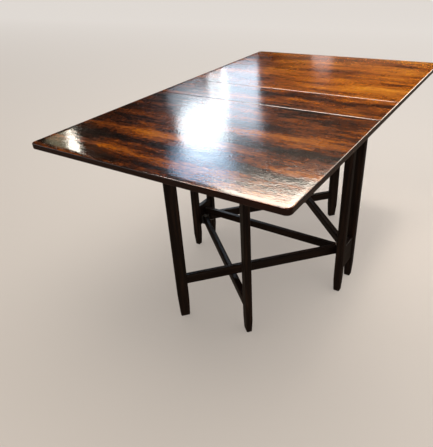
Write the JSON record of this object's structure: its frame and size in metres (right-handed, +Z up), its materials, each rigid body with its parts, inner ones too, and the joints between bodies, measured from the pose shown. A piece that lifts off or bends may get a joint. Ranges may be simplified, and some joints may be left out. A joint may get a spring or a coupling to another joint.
{
  "type": "drop-leaf gate-leg table",
  "caption": "Rectangular drop-leaf table of glossy figured dark wood on slim tapered legs, with two hinged leaves held up by swinging gate legs on crossing stretchers.",
  "frame": {"origin": "on the floor, under the middle of the centre board", "axes": "+X along the seams between centre board and leaves, +Y from the near leaf to the far leaf, +Z up"},
  "size_m": [0.88, 1.44, 0.73],
  "materials": {
    "rosewood_top": "glossy clear lacquer over dark figured veneer",
    "frame_wood": "satin dark stain",
    "bracket_steel": "dark plated steel plate",
    "pin_steel": "turned steel",
    "hinge_brass": "dull brass"
  },
  "bodies": {
    "frame": {"centre_board": "rosewood_top", "frame_leg_near_left": "frame_wood", "frame_leg_far_left": "frame_wood", "end_rail_lower_left": "frame_wood", "end_rail_upper_left": "frame_wood", "frame_leg_near_right": "frame_wood", "frame_leg_far_right": "frame_wood", "end_rail_lower_right": "frame_wood", "end_rail_upper_right": "frame_wood", "stretcher_lower": "frame_wood", "rail_under_top": "frame_wood", "pivot_bracket_lower_near_left": "bracket_steel", "pivot_pin_lower_near_left": "pin_steel", "pivot_bracket_upper_near_left": "bracket_steel", "pivot_pin_upper_near_left": "pin_steel", "pivot_bracket_lower_near_right": "bracket_steel", "pivot_pin_lower_near_right": "pin_steel", "pivot_bracket_upper_near_right": "bracket_steel", "pivot_pin_upper_near_right": "pin_steel", "pivot_bracket_lower_far_right": "bracket_steel", "pivot_pin_lower_far_right": "pin_steel", "pivot_bracket_upper_far_right": "bracket_steel", "pivot_pin_upper_far_right": "pin_steel", "pivot_bracket_lower_far_left": "bracket_steel", "pivot_pin_lower_far_left": "pin_steel", "pivot_bracket_upper_far_left": "bracket_steel", "pivot_pin_upper_far_left": "pin_steel", "hinge_fixed_near_left": "hinge_brass", "hinge_fixed_near_middle": "hinge_brass", "hinge_fixed_near_right": "hinge_brass", "hinge_fixed_far_left": "hinge_brass", "hinge_fixed_far_middle": "hinge_brass", "hinge_fixed_far_right": "hinge_brass"},
    "gate_near_left": {"gate_leg_near_left": "frame_wood", "gate_bar_lower_near_left": "frame_wood", "gate_bar_upper_near_left": "frame_wood"},
    "leaf_near": {"leaf_stop_near_left": "frame_wood", "leaf_stop_near_right": "frame_wood", "leaf_board_near": "rosewood_top", "hinge_leaf_near_left": "hinge_brass", "hinge_leaf_near_middle": "hinge_brass", "hinge_leaf_near_right": "hinge_brass"},
    "gate_near_right": {"gate_leg_near_right": "frame_wood", "gate_bar_lower_near_right": "frame_wood", "gate_bar_upper_near_right": "frame_wood"},
    "gate_far_right": {"gate_leg_far_right": "frame_wood", "gate_bar_lower_far_right": "frame_wood", "gate_bar_upper_far_right": "frame_wood"},
    "leaf_far": {"leaf_stop_far_right": "frame_wood", "leaf_stop_far_left": "frame_wood", "leaf_board_far": "rosewood_top", "hinge_leaf_far_left": "hinge_brass", "hinge_leaf_far_middle": "hinge_brass", "hinge_leaf_far_right": "hinge_brass"},
    "gate_far_left": {"gate_leg_far_left": "frame_wood", "gate_bar_lower_far_left": "frame_wood", "gate_bar_upper_far_left": "frame_wood"}
  },
  "joints": [
    {"name": "near_left_gate_swing", "type": "hinge", "parent": "frame", "child": "gate_near_left", "pos_m": [0.319, -0.023, 0.172], "axis": [0, 0, -1], "range_deg": [0, 41.5]},
    {"name": "near_right_gate_swing", "type": "hinge", "parent": "frame", "child": "gate_near_right", "pos_m": [-0.319, -0.023, 0.122], "axis": [0, 0, 1], "range_deg": [0, 34.7]},
    {"name": "far_right_gate_swing", "type": "hinge", "parent": "frame", "child": "gate_far_right", "pos_m": [-0.319, 0.023, 0.122], "axis": [0, 0, -1], "range_deg": [0, 41]},
    {"name": "far_left_gate_swing", "type": "hinge", "parent": "frame", "child": "gate_far_left", "pos_m": [0.319, 0.023, 0.172], "axis": [0, 0, 1], "range_deg": [0, 38.6]},
    {"name": "near_leaf_hinge", "type": "hinge", "parent": "frame", "child": "leaf_near", "pos_m": [0, -0.1004, 0.711], "axis": [-1, 0, 0], "range_deg": [0, 1.5]},
    {"name": "far_leaf_hinge", "type": "hinge", "parent": "frame", "child": "leaf_far", "pos_m": [0, 0.1004, 0.711], "axis": [1, 0, 0], "range_deg": [0, 1.5]}
  ]
}
